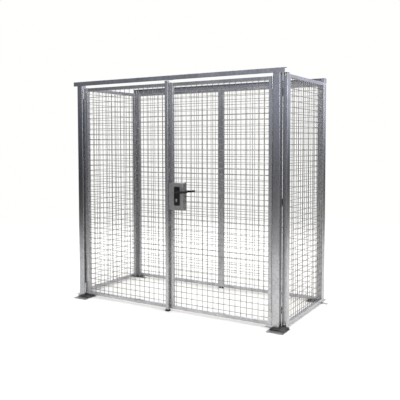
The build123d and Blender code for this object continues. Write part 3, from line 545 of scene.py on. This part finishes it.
def post_knuckle_welds(shape):
    """Beads beside the lower knuckles, on the inner faces of both hinge posts."""
    post_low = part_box("hinge_post_right")[0]
    low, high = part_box("post_knuckles")
    start, end = POST_KNUCKLE_SPAN
    for face in (-post_low.x, post_low.x):
        for bottom in knuckle_bottoms(low, high):
            for y in (low.y, high.y):
                first = Vector((face, y, bottom + start))
                weld_bead(shape, first, Vector((face, y, bottom + end)), POST_KNUCKLE_BEAD)


def leaf_knuckle_welds(shape, side):
    """Beads along a leaf's own knuckles."""
    low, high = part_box("leaf_knuckles_" + side)
    edge = high.x if side == "left" else low.x
    for bottom in knuckle_bottoms(low, high):
        start = Vector((edge, high.y - LEAF_KNUCKLE_SINK, bottom + LEAF_KNUCKLE_START))
        weld_bead(shape, start, start + Vector((0, 0, LEAF_KNUCKLE_LENGTH)), LEAF_BEAD)


def centre_bar_welds(shape):
    """Short beads down both sides of the cover bar."""
    low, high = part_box("centre_bar")
    for k in range(BAR_WELDS):
        z = BAR_WELD_FIRST + k * BAR_WELD_PITCH
        for x in (low.x, high.x):
            start = Vector((x, high.y, z))
            weld_bead(shape, start, start + Vector((0, 0, BAR_WELD_LENGTH)), LEAF_BEAD)


def lock_case_welds(shape):
    """Beads across the top and bottom of the lock case."""
    low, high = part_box("lock_case")
    for z in (low.z, high.z):
        for inward in CASE_WELD_SIDES:
            start = Vector((low.x + inward, high.y - CASE_WELD_BACK, z))
            weld_bead(shape, start, start + Vector((0, CASE_WELD_LENGTH, 0)), LEAF_BEAD)


def make_welds():
    """One piece of weld beads for the frame and one for each leaf."""
    shape = bmesh.new()
    for side in ("left", "right"):
        frame_corner_welds(shape, f"side_panel_{side}_rails", 1)
        frame_corner_welds(shape, f"rear_panel_{side}_rails", 0)
    post_knuckle_welds(shape)
    mesh_piece("frame_welds", shape, WELD, "frame")
    for side in ("left", "right"):
        shape = bmesh.new()
        frame_corner_welds(shape, f"leaf_rails_{side}", 0)
        leaf_knuckle_welds(shape, side)
        if side == "left":
            centre_bar_welds(shape)
        else:
            lock_case_welds(shape)
        mesh_piece(f"leaf_welds_{side}", shape, WELD, side + "_door")


# ------------------------------------------------------------ scene

def make_floor():
    """Large pale floor that the feet stand on."""
    shape = bmesh.new()
    bmesh.ops.create_grid(shape, x_segments=FLOOR_CELLS, y_segments=FLOOR_CELLS, size=FLOOR_HALF)
    data = bpy.data.meshes.new("studio_floor")
    shape.to_mesh(data)
    shape.free()
    floor = bpy.data.objects.new("studio_floor", data)
    bpy.context.scene.collection.objects.link(floor)
    floor.location.z = cad_low.z - FLOOR_DROP
    paint(floor, floor_material())


def area_light(name, place, aim, size, power, colour):
    """Soft square light aimed at a point."""
    data = bpy.data.lights.new(name, "AREA")
    data.energy = power
    data.size = size
    data.color = colour
    light = bpy.data.objects.new(name, data)
    bpy.context.scene.collection.objects.link(light)
    light.location = place
    towards = Vector(aim) - Vector(place)
    light.rotation_euler = towards.to_track_quat("-Z", "Y").to_euler()


# name, place, aim, size, power in watts, colour
LIGHTS = (
    ("ceiling_softbox", (0.5, -0.5, 6.0), (0, 0, 0.0), 7.0, 260.0, (1, 1, 1)),
    ("front_softbox", (5.0, -3.6, 3.0), (0.2, 0, 0.9), 2.2, 80.0, (1.0, 0.985, 0.96)),
    ("rear_softbox", (-3.0, 5.0, 3.2), (0, 0, 1.0), 3.0, 90.0, (0.95, 0.97, 1.0)),
)

# height in the room from 0, straight down, to 1, straight up, and its colour
ROOM_BANDS = (
    (0.30, (1.0, 0.96, 0.90)),
    (0.42, (0.60, 0.57, 0.53)),
    (0.45, (0.09, 0.09, 0.09)),
    (0.49, (0.07, 0.07, 0.08)),
    (0.52, (0.66, 0.70, 0.84)),
    (0.60, (1.05, 1.08, 1.20)),
    (0.90, (1.1, 1.1, 1.1)),
)
ROOM_STRENGTH = 1.0
BACKDROP_STRENGTH = 1.0
BACKDROP_COLOUR = (1, 1, 0.99, 1)
SIDE_FROM = (-0.75, -0.15)  # the room darkens from right to left between these
SIDE_SHADE = (0.2, 1.15)


def make_world():
    """Room that the zinc mirrors, pale above and below a dark band, and a plain pale backdrop."""
    world = bpy.data.worlds.new("studio_world")
    bpy.context.scene.world = world
    world.use_nodes = True
    tree = world.node_tree
    tree.nodes.clear()
    place = tree.nodes.new("ShaderNodeTexCoord").outputs["Generated"]
    split = tree.nodes.new("ShaderNodeSeparateXYZ")
    tree.links.new(place, split.inputs["Vector"])
    height = spread(tree, split.outputs["Z"], 0.0, 1.0, -1.0)
    room = ramp(tree, height, ROOM_BANDS)
    side = spread(tree, split.outputs["X"], *SIDE_SHADE, *SIDE_FROM)
    shaded = blend(tree, "MULTIPLY", 1.0, room, side)
    mirrored = tree.nodes.new("ShaderNodeBackground")
    tree.links.new(shaded, mirrored.inputs["Color"])
    mirrored.inputs["Strength"].default_value = ROOM_STRENGTH
    backdrop = tree.nodes.new("ShaderNodeBackground")
    backdrop.inputs["Color"].default_value = BACKDROP_COLOUR
    backdrop.inputs["Strength"].default_value = BACKDROP_STRENGTH
    seen = tree.nodes.new("ShaderNodeLightPath").outputs["Is Camera Ray"]
    mix = tree.nodes.new("ShaderNodeMixShader")
    tree.links.new(seen, mix.inputs["Fac"])
    tree.links.new(mirrored.outputs["Background"], mix.inputs[1])
    tree.links.new(backdrop.outputs["Background"], mix.inputs[2])
    output = tree.nodes.new("ShaderNodeOutputWorld")
    tree.links.new(mix.outputs["Shader"], output.inputs["Surface"])


CAMERA_PLACE = (2.8144, -4.8363, 1.4971)
CAMERA_YAW = 31.7
CAMERA_PITCH = 3.0
CAMERA_ROLL = -0.2
CAMERA_LENS = 53.08
CAMERA_SENSOR = 36.0
CAMERA_SHIFT = (0.0455, -0.0663)


def make_camera():
    """Camera at a standing person's eye level, off the right front corner."""
    data = bpy.data.cameras.new("camera")
    data.lens = CAMERA_LENS
    data.sensor_width = CAMERA_SENSOR
    data.shift_x, data.shift_y = CAMERA_SHIFT
    camera = bpy.data.objects.new("camera", data)
    bpy.context.scene.collection.objects.link(camera)
    yaw = math.radians(CAMERA_YAW)
    pitch = math.radians(CAMERA_PITCH)
    level = Vector((-math.sin(yaw), math.cos(yaw), 0.0)) * math.cos(pitch)
    forward = level - Vector((0, 0, math.sin(pitch)))
    roll = Matrix.Rotation(math.radians(CAMERA_ROLL), 3, "Z")
    camera.location = CAMERA_PLACE
    camera.rotation_euler = (forward.to_track_quat("-Z", "Y").to_matrix() @ roll).to_euler()
    bpy.context.scene.camera = camera


make_camera()
make_floor()
make_world()
for light in LIGHTS:
    area_light(*light)
make_meshes()
make_levers()
make_welds()

bpy.context.scene.view_settings.view_transform = "Standard"
